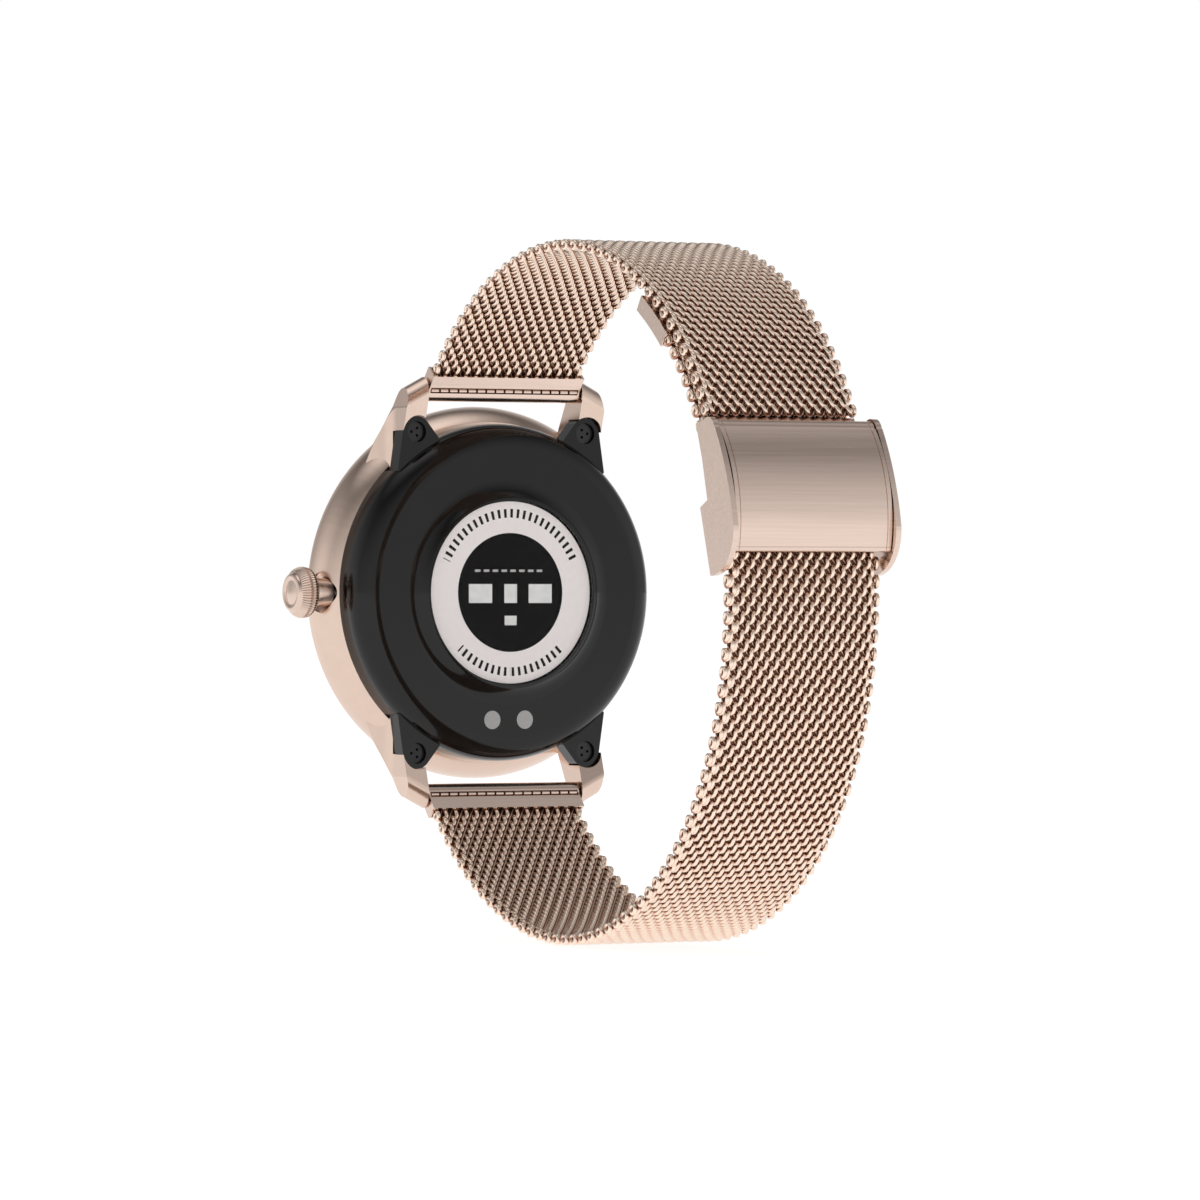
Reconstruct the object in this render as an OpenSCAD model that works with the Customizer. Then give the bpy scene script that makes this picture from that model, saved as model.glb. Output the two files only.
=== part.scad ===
// Smartwatch with a woven metal strap, closed into the loop that it makes on a wrist.
// +Z is towards 12 o'clock, +Y comes out of the display and -X is the crown's side.
// The origin is the centre of the lens face that rests on the wrist.

/* [Case] */
// Widest diameter of the metal case
case_d = 42.8; // [40:0.1:46]
// How far the case bulges beyond its seam with the rear cover
bulge = 1.85; // [1.5:0.05:2.4]
// Height of that seam above the lens face
seam_y = 5.3; // [5:0.1:5.6]
// Height of the widest line of the case
belt_y = 9; // [8.6:0.1:9.4]
// Height of the case's front rim, where the bezel sits
rim_y = 9.6; // [9.5:0.1:10.4]
// Height of the bezel ring
bezel_h = 0.9; // [0.6:0.1:1.4]
// Wall of the case at the seam
case_wall = 1.15; // [0.9:0.05:1.3]

/* [Rear cover] */
// Height of the cover's crest above the lens face
crest_y = 0.95; // [0.7:0.05:1.2]
// Roundness of the cover's shoulder
shoulder_r = 2.6; // [2:0.1:3]
// Wall of the rear cover
cover_wall = 1.1; // [0.8:0.1:1.3]
// Diameter of the sensor lens
lens_d = 21; // [19:0.1:22]
// Thickness of the sensor lens
lens_t = 0.55; // [0.4:0.05:0.7]
// Diameter of the black disc printed in the middle of the lens
print_d = 13.6; // [12.5:0.1:15]
// Distance between the two charging contacts
contact_gap = 4.24; // [3.5:0.02:5]
// Distance between a charging contact and the foot of the lens's boss
contact_edge = 0.66; // [0.3:0.02:0.9]
// Diameter of a charging contact
contact_d = 2.1; // [1.5:0.1:2.3]
// How far a rear screw lies inside its lug
screw_inset = 1; // [0.9:0.05:1.1]
// How far a rear screw lies beyond the cover's edge
screw_reach = 2.05; // [1.9:0.05:2.2]
// Diameter of a rear screw's head
screw_head_d = 2.3; // [1.8:0.1:2.6]

/* [Strap] */
// Space between two lugs
lug_gap = 20; // [19.6:0.1:20.4]
// Height of the spring bars above the lens face
bar_y = 3.1; // [2.9:0.1:3.3]
// How far a spring bar lies beyond the case's edge
bar_reach = 1.55; // [1.1:0.05:2.6]
// Diameter of a spring bar's barrel
bar_d = 1.5; // [1.3:0.1:1.5]
// Space between the woven mesh's edge and a lug
mesh_gap = 0.5; // [0.4:0.05:1.2]
// Thickness of the woven mesh
mesh_t = 1.3; // [1:0.1:1.4]
// How far the middle of the strap loop lies behind the lens face
loop_depth = 27.6; // [25:0.1:32]
// How much the clasp's side of the loop is flattened
loop_flat = 2.25; // [1.5:0.05:3]
// Length of the folded plate at a strap end, from the spring bar
plate_len = 2.75; // [2.4:0.05:3.5]
// Space between the upper strap and the tail beneath it
tail_gap = 0.45; // [0.4:0.05:0.6]
// Length of the cap on the tail's end
tail_cap_len = 6.8; // [5:0.1:8]

/* [Clasp] */
// Space between the mesh's edge and a cheek of the clasp
clasp_gap = 0.3; // [0.2:0.05:0.6]
// Thickness of a cheek
cheek_t = 0.65; // [0.5:0.05:0.8]
// Thickness of the flip cover
cover_t = 0.6; // [0.4:0.05:0.7]
// Diameter of the cover's hinge pin
hinge_d = 0.9; // [0.7:0.05:1]

/* [Crown] */
// Diameter of the crown's knob
crown_d = 5.85; // [5:0.05:6]
// Length of the knob
crown_len = 2.65; // [2.4:0.05:3]
// Number of flutes around the knob
crown_flutes = 56; // [40:2:60]
// How far the crown presses in
crown_travel = 0.6; // [0.4:0.05:0.7]

/* [Clearances] */
// Radial clearance of a turning or sliding fit
run_clear = 0.05; // [0.02:0.01:0.07]
// Gap between pieces that drop into one another
seat_clear = 0.1; // [0.05:0.01:0.12]

/* [Hidden] */
$fn = 96;
rose = [0.82, 0.68, 0.6];
steel = [0.7, 0.7, 0.72];
dark = [0.12, 0.12, 0.13];
far = 60;

// Case: the wall bulges in an arc that stands upright at the belt
case_r = case_d/2;
seam_r = case_r - bulge;
cavity_r = seam_r - case_wall;
bulge_r = ((case_r - seam_r)^2 + (belt_y - seam_y)^2)/(2*(case_r - seam_r));
front_y = rim_y + bezel_h;

// Front stack, from the case's rim
bezel_in_r = case_r - 1.6;
glass_r = bezel_in_r - seat_clear;
glass_y = rim_y + 0.2;
glass_t = front_y + 0.15 - glass_y;
panel_r = cavity_r - 2*seat_clear;
panel_t = 1.1;
panel_y = glass_y - panel_t;
seal_w = 1.1;

// Rear cover
cover_r = seam_r - 0.25;
crest_in_y = crest_y + cover_wall;
shoulder = [cover_r - shoulder_r, crest_y + shoulder_r];
boss_r = lens_d/2 + 0.6;
boss_lip = 0.4;
boss_foot = 2.6;
lip_at = [boss_r - boss_lip, 0.05 + boss_lip];
foot_dy = lip_at[1] - crest_y + boss_foot;
foot_at = [lip_at[0] + sqrt((boss_lip + boss_foot)^2 - foot_dy^2), crest_y - boss_foot];
contact_z = foot_at[0] + contact_d/2 + contact_edge;
spigot_r = cavity_r - seat_clear;
spigot_t = 1.1;
spigot_y = seam_y + 1;
groove_r = spigot_r - 0.35;
groove_y = seam_y + 0.05;
groove_h = 0.3;

// Lens, with its print on the inner face
print_t = 0.05;
seat_y = lens_t + print_t;
seat_floor = 0.8;
light_r = print_d/2 - 0.3;
window_t = 0.3;
window_h = 2.16;
window_z = -0.12;
windows = [[-3.88, window_z, 3.02, window_h], [0.04, window_z, 1.65, window_h],
  [3.9, window_z, 3.02, window_h], [0.04, -3.2, 1.56, 1.08]];
sensor_y = 2.2;
sensor_t = 0.6;
sensor_r = 8.5;

// Strap width
lug_x = lug_gap/2;
bar_z = case_r + bar_reach;
mesh_w = lug_gap - 2*mesh_gap;
clasp_w = mesh_w + 2*clasp_gap;

// Screw ears: a round end, joined by two tangents to the cover's side
screw_x = lug_x + screw_inset;
screw_z = sqrt((cover_r + screw_reach)^2 - screw_x^2);
ear_ang = atan2(screw_z, screw_x);
ear_r = 1.78;
ear_y = 2.6;
ear_t = 2;
ear_top = ear_y + ear_t;
ear_foot = [for (len = [-4.45, 2.1]) let (a = ear_ang + turn_of(len, cover_r)) cover_r*[cos(a), sin(a)]];
screw_y = ear_y + 0.45;
screw_head_t = 0.6;
screw_r = 0.6;
screw_tip = ear_top + 2;

// Spring bars
barrel_half = lug_x - 1.9;
barrel_in_r = bar_d/2 - 0.2;
tip_r = barrel_in_r - run_clear - 0.02;
tip_in = lug_x - 4;
tip_out = lug_x + 0.95;
flange_x = lug_x - 0.65;
flange_t = 0.25;
spring_in = 0.5;
spring_turns = 7;
spring_wire = 0.15;

// Lugs: a round nose at the tip, cut at a slant in the plan
nose_r = 1.6;
lug_tip = bar_z + nose_r;
lug_slant = 27.5;
lug_hole_r = tip_r + 0.07;
lug_hole_depth = 1.3;
lug_front_y = seam_y + 2;
lug_waist = lug_x + 2.88;
lug_bend = [lug_x + 2.8, lug_tip - 3.35];
lug_root_z = lug_tip - 12.05;
lug_corner = [lug_x + 2.45, lug_tip - 1.28];
lug_step = 4.1;
shelf_y = ear_top + seat_clear + 0.05;
flare_r = 3.6;
flare_y = 4;

// Strap loop: its arcs start at the spring bars, and the clasp's side is flatter
loop_y = -loop_depth;
arm = [bar_y - loop_y, bar_z];
loop_r = norm(arm);
bar_ang = atan2(arm[1], arm[0]);
side_r = loop_r - loop_flat;
flat_ang = 18.5;
back_y = loop_y + loop_flat/tan(flat_ang);
back_r = side_r + loop_flat/sin(flat_ang);

// A point of the strap's middle line moved outwards by d. The angle a is 0 at the display,
// 180 at the clasp's side and past 180 on the lower strap
function loop_at(a, d = 0) =
  a > 180 ? let (p = loop_at(360 - a, d)) [p[0], -p[1]]
  : a <= 90 ? [loop_y + (loop_r + d)*cos(a), (loop_r + d)*sin(a)]
  : a <= 180 - flat_ang ? [loop_y + (side_r + d)*cos(a), loop_flat + (side_r + d)*sin(a)]
  : [back_y + (back_r + d)*cos(a), (back_r + d)*sin(a)];

// The lower strap slips inwards by one layer on its way through the clasp
layer = mesh_t + tail_gap;
slip_from = 174;
slip_to = 162;
function ease(u) = let (c = min(1, max(0, u))) c*c*(3 - 2*c);
function slip(a) = -layer*ease((slip_from - a)/(slip_from - slip_to));

// An arc length on the strap as an angle
function turn_of(len, r) = len/r*180/PI;

// Strap ends
tube_r = bar_d/2 + 0.4;
tube_in_r = bar_d/2 + run_clear;
plate_half = lug_x - 0.2;
plate_end = bar_ang + turn_of(plate_len, loop_r);
mesh_start = bar_ang + turn_of(plate_len - 1, loop_r);
pocket_t = mesh_t + 0.04;
bead_count = 16;
bead_pitch = (2*plate_half - 0.4)/bead_count;
bead_w = bead_pitch - 0.25;
bead_r = 0.22;
bead_sink = 0.2;
bead_y = bar_y - tube_r + bead_sink;
bead_z = bar_z + 0.03;
band_step = 3;

// Tail
tail_r = side_r - layer;
cap_t = 0.27;
cap_in = 133.5;
cap_end = cap_in - turn_of(tail_cap_len, tail_r);
tail_end = cap_end + turn_of(cap_t, tail_r);
cap_half = clasp_w/2 - 0.15;

// Clasp: its own t runs up along the strap and its n away from the wrist
clasp_ang = 166.6;
clasp_at = loop_at(clasp_ang, mesh_t/2);
cheek_in = clasp_w/2;
cheek_out = cheek_in + cheek_t;
cover_half = cheek_in - seat_clear;
cover_arc = 15.5;
cover_mid = [0.5, 3 - cover_arc];
hinge = [7.2, 0.15];
knuckle_r = cover_arc - norm(hinge - cover_mid);
cover_end_t = -5.85;
lip_r = 0.45;
rim_x = cover_half - 0.6;
mesh_end = 152.4;
bar_from = 158.6;
bar_to = 160.5;
plate_to = 168;

// Crown, along -X
crown_y = 7.1;
stem_r = 0.72;
tube_bore_r = stem_r + run_clear;
crown_tube_r = tube_bore_r + 0.52;
tube_out_x = -cavity_r - 0.9;
tube_in_x = -cavity_r + 1.15;
neck_r = 1.6;
dish_r = 2.3;
dish_depth = 0.6;
dish_x = -case_r + 1.2;
neck_x = tube_out_x - crown_travel - 0.15;
knob_x = -case_r - crown_travel - 0.25;
knob_r = crown_d/2;
knob_arc = 1.55;
knob_belt = 1.1;
clip_x = tube_in_x + 0.1;
stem_end_x = clip_x + 1;
seal_x = [tube_out_x + 0.3, tube_out_x + 1.1];
seal_t = 0.45;
seal_groove_r = 0.5;
plunger_r = 0.5;
plunger_x = stem_end_x + 0.05;
switch_x = plunger_x + crown_travel + 0.65;

// Inside
battery_size = [22, 3.2, 16];
battery_z = 2;
frame_y = 3;
frame_r = spigot_r - spigot_t - seat_clear;
board_y = 6.8;
board_t = 0.6;
board_r = cavity_r - 1.6;
board_edge = switch_x + 2.8;
motor_r = 3.5;
motor_at = [8.3, -10.2];
motor_y = 4.3;
motor_t = 2.4;
magnet_r = 1.75;
magnet_at = [6.3, -13];
magnet_t = 1.8;
well_z = -9.2;
well_y = 4.2;

// Turned about Y: the child's x is the radius and its y the height
module turned() {
  rotate([-90, 0, 0]) rotate_extrude() children();
}

// A disc or ring about Y, from y0 to y1
module disc_y(r, y0, y1, hole = 0) {
  translate([0, y1, 0]) rotate([90, 0, 0]) difference() {
    cylinder(r = r, h = y1 - y0);
    if (hole > 0) translate([0, 0, -1]) cylinder(r = hole, h = y1 - y0 + 2);
  }
}

// A plan drawn in X and Z, from y0 to y1
module plan(y0, y1) {
  translate([0, y1, 0]) rotate([90, 0, 0]) linear_extrude(y1 - y0) children();
}

// A side view drawn in Y and Z, from x0 to x1
module side(x0, x1) {
  translate([x0, 0, 0]) rotate([90, 0, 90]) linear_extrude(x1 - x0) children();
}

// A rod along X, from x0 to x1
module rod_x(r, x0, x1) {
  translate([x0, 0, 0]) rotate([0, 90, 0]) cylinder(r = r, h = x1 - x0);
}

// A box from corner to corner
module box(lo, hi) {
  translate(lo) cube(hi - lo);
}

// Copies at all four corners of the case
module four() {
  for (mx = [0, 1], mz = [0, 1]) mirror([mx, 0, 0]) mirror([0, 0, mz]) children();
}

// The lower strap's pieces mirror the upper one's
module lower() {
  mirror([0, 0, 1]) children();
}

// Where a line from p touches the circle of radius r at c, on the side s
function touch(p, c, r, s) =
  let (a = atan2(p[1] - c[1], p[0] - c[0]) + s*acos(r/norm(p - c)))
  c + r*[cos(a), sin(a)];

// A strap band in the side view: thickness t, moved outwards by d, between two angles
module band(a0, a1, t, d = 0, slips = false) {
  steps = [for (a = [ceil(a0/band_step)*band_step:band_step:a1]) if (a > a0 + 0.01 && a < a1 - 0.01) a];
  angs = concat([a0], steps, [a1]);
  shift = [for (a = angs) d + (slips ? slip(a) : 0)];
  last = len(angs) - 1;
  polygon(concat(
    [for (i = [0:last]) loop_at(angs[i], shift[i] + t/2)],
    [for (i = [last:-1:0]) loop_at(angs[i], shift[i] - t/2)]));
}

// A side view drawn in the clasp's t and n
module clasp_side(x0, x1) {
  side(x0, x1) translate(clasp_at) rotate(clasp_ang - 90) children();
}

// A rear screw's ear, grown for the pocket that it sits in
module ear_plan(grow = 0) {
  at = [screw_x, screw_z];
  r = ear_r + grow;
  a = ear_foot[0] + [1.4*grow, 0];
  b = ear_foot[1] + [-1.4*grow, grow];
  translate(at) circle(r);
  polygon([a, touch(a, at, r, 1), at, touch(b, at, r, -1), b, 0.9*ear_foot[1], 0.9*ear_foot[0]]);
}

// The lug's side view, from its tip (0) down along the slant: the nose, then a shelf for the ear
module lug_side() {
  nose = [bar_y, -nose_r];
  front = [lug_front_y, -5.2];
  back = [2.3, -lug_step];
  translate(nose) circle(nose_r);
  polygon([nose, touch(front, nose, nose_r, 1), front, [lug_front_y + 0.2, -13], [seam_y, -13],
    [seam_y, -9], [shelf_y, -7], [shelf_y, -lug_step], back,
    touch(back, nose, nose_r, -1)]);
}

// Its outer side runs into the case and is hollowed by a large arc
module lug() {
  difference() {
    intersection() {
      plan(0, lug_front_y)
        polygon([[lug_x, lug_root_z], [lug_x + 5.9, lug_root_z], lug_bend, lug_corner, [lug_x, lug_tip]]);
      translate([lug_x, 0, lug_tip]) rotate([0, lug_slant, 0]) side(-12, 17) lug_side();
    }
    translate([0, 0, 5]) linear_extrude(25) {
      translate([lug_waist + flare_r, flare_y]) circle(flare_r);
      translate([lug_waist, -1]) square([far, flare_y + 1]);
    }
  }
}

module case_body() color(rose) difference() {
  union() {
    turned() intersection() {
      translate([case_r - bulge_r, belt_y]) circle(bulge_r);
      translate([cavity_r - 1, seam_y]) square([5, rim_y - seam_y]);
    }
    four() lug();
  }
  disc_y(cover_r + seat_clear, -1, seam_y);
  disc_y(cavity_r, seam_y - 1, rim_y + 1);
  four() plan(0, ear_top + seat_clear) ear_plan(seat_clear);
  four() translate([screw_x, 0, screw_z]) disc_y(screw_r, ear_top, screw_tip + 0.2);
  four() translate([0, bar_y, bar_z]) rod_x(lug_hole_r, lug_x - 1, lug_x + lug_hole_depth);
  translate([0, crown_y, 0]) rod_x(crown_tube_r, -cavity_r - 3, -cavity_r + 1);
  translate([0, crown_y, 0]) {
    rod_x(neck_r + run_clear, -case_r - 1, tube_out_x);
    rod_x(dish_r, -case_r - 1, dish_x - dish_depth);
    translate([dish_x - dish_depth, 0, 0]) rotate([0, 90, 0])
      cylinder(r1 = dish_r, r2 = neck_r + run_clear, h = dish_depth);
  }
}

module bezel_ring() color(rose) turned()
  polygon([[bezel_in_r, rim_y], [case_r - 0.1, rim_y], [case_r - 0.15, rim_y + 0.25],
    [case_r - 0.65, front_y - 0.1], [case_r - 0.85, front_y], [bezel_in_r + 0.2, front_y],
    [bezel_in_r, front_y - 0.2]]);

module cover_glass() color(dark) turned()
  polygon([[0, glass_y], [glass_r, glass_y], [glass_r, glass_y + glass_t - 0.35],
    [glass_r - 0.5, glass_y + glass_t], [0, glass_y + glass_t]]);

module glass_seal() color("gray") disc_y(glass_r - 0.05, rim_y, glass_y, glass_r - seal_w);

module display_panel() color(dark) disc_y(panel_r, panel_y, glass_y);

module display_flex() color("orange") difference() {
  box([-3, board_y + board_t, 13.4], [3, panel_y, 14.6]);
  box([-4, board_y + board_t + 0.15, 13.3], [4, panel_y - 0.15, 14.45]);
}

// The outline under the crest, shoulder and boss, grown inwards by w
module cover_section(w) {
  r = shoulder_r - w;
  top = crest_y + w;
  translate(shoulder) circle(r);
  translate([0, top]) square([shoulder[0], seam_y - top]);
  translate([0, shoulder[1]]) square([cover_r - w, seam_y - shoulder[1]]);
}

// The boss around the lens: a rounded lip, and a hollow foot that runs out into the crest
module boss_section() {
  translate(lip_at) circle(boss_lip);
  translate([0, lip_at[1] - boss_lip]) square([lip_at[0], seam_y]);
  difference() {
    polygon([lip_at, foot_at, [foot_at[0], seam_y], [lip_at[0], seam_y]]);
    translate(foot_at) circle(boss_foot);
  }
}

module rear_cover() color(dark) difference() {
  union() {
    turned() intersection() {
      union() {
        cover_section(0);
        boss_section();
      }
      square([far, seam_y]);
    }
    disc_y(spigot_r, seam_y, spigot_y);
    four() plan(ear_y, ear_top) ear_plan();
  }
  turned() difference() {
    intersection() {
      cover_section(cover_wall);
      square([cover_r - spigot_t - 0.2, seam_y]);
    }
    square([foot_at[0], seat_y + seat_floor]);
  }
  translate([0, crown_y, 0]) rod_x(crown_tube_r + seat_clear, -cavity_r - 1, -cavity_r + 3);
  disc_y(spigot_r - spigot_t, seam_y - 0.5, spigot_y + 1);
  disc_y(far, groove_y, groove_y + groove_h, groove_r);
  disc_y(lens_d/2 + seat_clear/2, -1, seat_y);
  disc_y(light_r, 0, crest_in_y + 1);
  for (s = [-1, 1]) translate([s*contact_gap/2, 0, -contact_z]) {
    disc_y(contact_d/2, 0, crest_y + 0.5);
    disc_y(screw_r, crest_y, crest_in_y + 1);
  }
  four() translate([screw_x, 0, screw_z]) {
    disc_y(screw_head_d/2 + run_clear, 0, screw_y + screw_head_t);
    disc_y(screw_r + run_clear, 0, ear_top + 1);
  }
}

module rear_seal() color("gray") disc_y(cavity_r, groove_y, groove_y + groove_h, groove_r);

module rear_screws() color(dark) four() translate([screw_x, 0, screw_z]) difference() {
  union() {
    disc_y(screw_head_d/2, screw_y, screw_y + screw_head_t);
    disc_y(screw_r, screw_y, screw_tip);
  }
  for (a = [0:120:240]) translate([0.48*cos(a), 0, 0.48*sin(a)]) disc_y(0.17, 0, screw_y + 0.35);
}

module sensor_lens() color([0.3, 0.3, 0.32]) disc_y(lens_d/2, 0, lens_t);

module lens_print_ring() color("white") disc_y(lens_d/2 - 0.1, lens_t, seat_y, print_d/2);

module window_plan(grow = 0) {
  for (w = windows) translate([w[0], w[1]]) square([w[2] + 2*grow, w[3] + 2*grow], center = true);
}

module lens_print_disc() color(dark) difference() {
  disc_y(print_d/2, lens_t, seat_y);
  plan(0, crest_y) window_plan();
}

module sensor_windows() color("white") plan(lens_t, lens_t + window_t) window_plan();

module sensor_board() color("green") disc_y(sensor_r, sensor_y, sensor_y + sensor_t);

module sensor_chips() color("yellow") plan(sensor_y - 0.7, sensor_y) window_plan(-0.2);

module sensor_baffle() color(dark) difference() {
  disc_y(light_r - seat_clear, lens_t + window_t, sensor_y);
  plan(0, sensor_y + 1) window_plan(-0.1);
}

module charging_contacts() color("silver")
  for (s = [-1, 1]) translate([s*contact_gap/2, 0, -contact_z]) {
    disc_y(contact_d/2, crest_y, crest_y + 0.5);
    disc_y(screw_r, crest_y + 0.5, crest_in_y + 1.3);
  }

module charging_magnets() color("silver")
  for (s = [-1, 1]) translate([s*magnet_at[0], 0, magnet_at[1]])
    disc_y(magnet_r, crest_in_y, crest_in_y + magnet_t);

module battery() color("silver")
  translate([0, frame_y + battery_size[1]/2, battery_z]) cube(battery_size, center = true);

module inner_frame() color("gray") difference() {
  disc_y(frame_r, frame_y, board_y);
  translate([0, frame_y + 2, battery_z]) cube(battery_size + [0.2, 5, 0.2], center = true);
  box([-far, frame_y - 1, -3], [board_edge + seat_clear, board_y + 1, 3]);
  box([-far, frame_y - 1, -far], [far, well_y, well_z]);
  translate([motor_at[0], 0, motor_at[1]]) disc_y(motor_r + seat_clear, frame_y, board_y + 1);
}

module main_board() color("green") difference() {
  disc_y(board_r, board_y, board_y + board_t);
  box([-far, board_y - 1, -3.5], [board_edge, board_y + 2, 3.5]);
}

module board_chips() color(dark) {
  y = board_y + board_t;
  box([-9, y, -11], [-3, y + 0.8, -5]);
  box([-1, y, -12], [4, y + 0.7, -8]);
  box([6, y, -11], [9, y + 0.6, -8.5]);
  box([-8, y, 7], [-4.5, y + 0.6, 11]);
}

module shield_can() color("silver") difference() {
  box([1, board_y + board_t, -6], [11, board_y + board_t + 1, 3]);
  box([1.2, board_y, -5.8], [10.8, board_y + board_t + 0.8, 2.8]);
}

module vibration_motor() color("silver")
  translate([motor_at[0], 0, motor_at[1]]) disc_y(motor_r, motor_y, motor_y + motor_t);

module antenna() color("orange") difference() {
  disc_y(frame_r + 0.25, spigot_y + 0.05, panel_y - 0.4, frame_r);
  box([-far, 0, -far], [far, far, 5]);
}

module push_switch() color("silver") difference() {
  box([switch_x, crown_y - 1.2, -1.6], [board_edge, crown_y + 1.2, 1.6]);
  translate([0, crown_y, 0]) rod_x(plunger_r + run_clear, switch_x - 1, switch_x + 1.8);
}

module switch_plunger() color("white") translate([0, crown_y, 0]) {
  rod_x(0.9, plunger_x, plunger_x + 0.4);
  rod_x(plunger_r, plunger_x + 0.4, switch_x + 0.9);
}

module crown_tube() color(steel) translate([0, crown_y, 0]) difference() {
  rod_x(crown_tube_r, tube_out_x, tube_in_x);
  rod_x(tube_bore_r, tube_out_x - 1, tube_in_x + 1);
}

module crown_knob() color(rose) translate([knob_x, crown_y, 0]) rotate([0, -90, 0]) {
  difference() {
    rotate_extrude() intersection() {
      translate([knob_r - knob_arc, knob_belt]) circle(knob_arc);
      square([far, crown_len - 0.45]);
    }
    for (i = [1:crown_flutes]) rotate(i*360/crown_flutes)
      translate([knob_r + 0.02, 0, -1]) cylinder(r = 0.11, h = crown_len + 2, $fn = 16);
  }
  translate([0, 0, knob_x - neck_x]) cylinder(r = neck_r, h = neck_x - knob_x);
  rotate_extrude() polygon([[0, crown_len - 0.45], [2.25, crown_len - 0.45],
    [2.25, crown_len - 0.35], [1.85, crown_len], [1.45, crown_len],
    [1.35, crown_len - 0.1], [0, crown_len - 0.1]]);
  cylinder(r = knob_r - knob_arc + 0.1, h = crown_len - 0.45);
}

module crown_stem() color(steel) translate([0, crown_y, 0]) difference() {
  rod_x(stem_r, neck_x, stem_end_x);
  for (x = seal_x) crown_groove(x, seal_t);
  crown_groove(clip_x, 0.3);
}

module crown_groove(x, w) {
  difference() {
    rod_x(stem_r + 1, x, x + w);
    rod_x(seal_groove_r, x - 1, x + w + 1);
  }
}

module crown_ring(x, w, r) {
  difference() {
    rod_x(r, x, x + w);
    rod_x(seal_groove_r, x - 1, x + w + 1);
  }
}

module crown_clip() color(steel) translate([0, crown_y, 0]) crown_ring(clip_x, 0.3, 1.2);

module crown_seals() color(dark) translate([0, crown_y, 0])
  for (x = seal_x) crown_ring(x, seal_t, tube_bore_r - 0.015);

module end_plate() color(rose) difference() {
  side(-plate_half, plate_half) difference() {
    union() {
      translate([bar_y, bar_z]) circle(tube_r);
      band(bar_ang, plate_end, mesh_t + 0.5);
    }
    translate([bar_y, bar_z]) circle(tube_in_r);
  }
  side(-mesh_w/2 - 0.05, mesh_w/2 + 0.05) band(mesh_start, plate_end + 2, pocket_t);
  box([-bead_pitch*bead_count/2, bead_y - 1, bead_z - bead_r - 0.1],
    [bead_pitch*bead_count/2, bead_y, bead_z + bead_r + 0.1]);
}

module end_beads() color(rose) intersection() {
  for (i = [0:bead_count - 1]) translate([(i + 0.5 - bead_count/2)*bead_pitch, bead_y - 0.05, bead_z])
    rod_x(bead_r, -bead_w/2, bead_w/2);
  box([-far, bead_y - 2, 0], [far, bead_y, far]);
}

module bar_barrel() color(steel) translate([0, bar_y, bar_z]) difference() {
  rod_x(bar_d/2, -barrel_half, barrel_half);
  rod_x(barrel_in_r, spring_in, far);
  rod_x(barrel_in_r, -far, -spring_in);
}

module bar_tip(s) color(steel) translate([0, bar_y, bar_z]) mirror([s > 0 ? 0 : 1, 0, 0]) {
  rod_x(tip_r, tip_in, tip_out);
  rod_x(bar_d/2, flange_x, flange_x + flange_t);
}

module bar_spring(s) color(steel) translate([0, bar_y, bar_z]) mirror([s > 0 ? 0 : 1, 0, 0])
  translate([spring_in, 0, 0]) rotate([0, 90, 0])
    linear_extrude(tip_in - spring_in, twist = -360*spring_turns, slices = 10*spring_turns, $fn = 5)
      translate([barrel_in_r - spring_wire, 0]) circle(d = spring_wire, $fn = 5);

module upper_mesh() color(rose) side(-mesh_w/2, mesh_w/2) band(mesh_start, mesh_end, mesh_t);

module lower_mesh() color(rose) side(-mesh_w/2, mesh_w/2)
  band(tail_end, 360 - mesh_start, mesh_t, slips = true);

module tail_cap() color(rose) difference() {
  side(-cap_half, cap_half) band(cap_end, cap_in, mesh_t + 2*cap_t, slips = true);
  side(-mesh_w/2 - 0.02, mesh_w/2 + 0.02) band(tail_end, cap_in + 2, mesh_t + 0.02, slips = true);
}

module cheek_plan() {
  difference() {
    intersection() {
      translate([-1.9, 3.1 - 30]) circle(30);
      union() {
        translate([-3.1, -1.9]) circle(5);
        translate([-3.1, -3.3]) square([10.3, 7]);
        translate(hinge) circle(knuckle_r + 0.25);
        translate([6, -2.1]) square([2.5, 2.25]);
      }
    }
    polygon([[-0.4, -3.3], [0, -1.65], [4.5, -1.7], [8.5, -2.1], [9, -9], [-9, -9], [-9, -2.8],
      [-6.6, -2.95]]);
  }
}

module clasp_frame() color(rose) difference() {
  union() {
    for (m = [0, 1]) mirror([m, 0, 0]) clasp_side(cheek_in, cheek_out) cheek_plan();
    side(-cheek_in, cheek_in) {
      band(bar_from, bar_to, 1.25, -0.275);
      band(bar_to, plate_to, 0.4, 0.15);
    }
  }
  for (m = [0, 1]) mirror([m, 0, 0]) clasp_side(cheek_in - 1, cheek_in + 0.25)
    translate(hinge) circle(hinge_d/2);
}

module strap_anchor() color(rose) side(-mesh_w/2, mesh_w/2) band(mesh_end, bar_from, 0.45, -0.675);

module clasp_hinge_pin() color(steel) clasp_side(-cheek_in - 0.23, cheek_in + 0.23)
  translate(hinge) circle(hinge_d/2);

// The cover's outline: an arched plate from the hinge to a rounded lip
module cover_plan() {
  lip_ang = asin((cover_end_t - cover_mid[0])/(cover_arc - lip_r));
  intersection() {
    difference() {
      translate(cover_mid) circle(cover_arc);
      translate(cover_mid) circle(cover_arc - cover_t);
    }
    translate([cover_end_t, 0]) square([hinge[0] - cover_end_t, 9]);
  }
  translate(cover_mid + (cover_arc - lip_r)*[sin(lip_ang), cos(lip_ang)]) circle(lip_r);
  translate(hinge) circle(knuckle_r);
}

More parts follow.
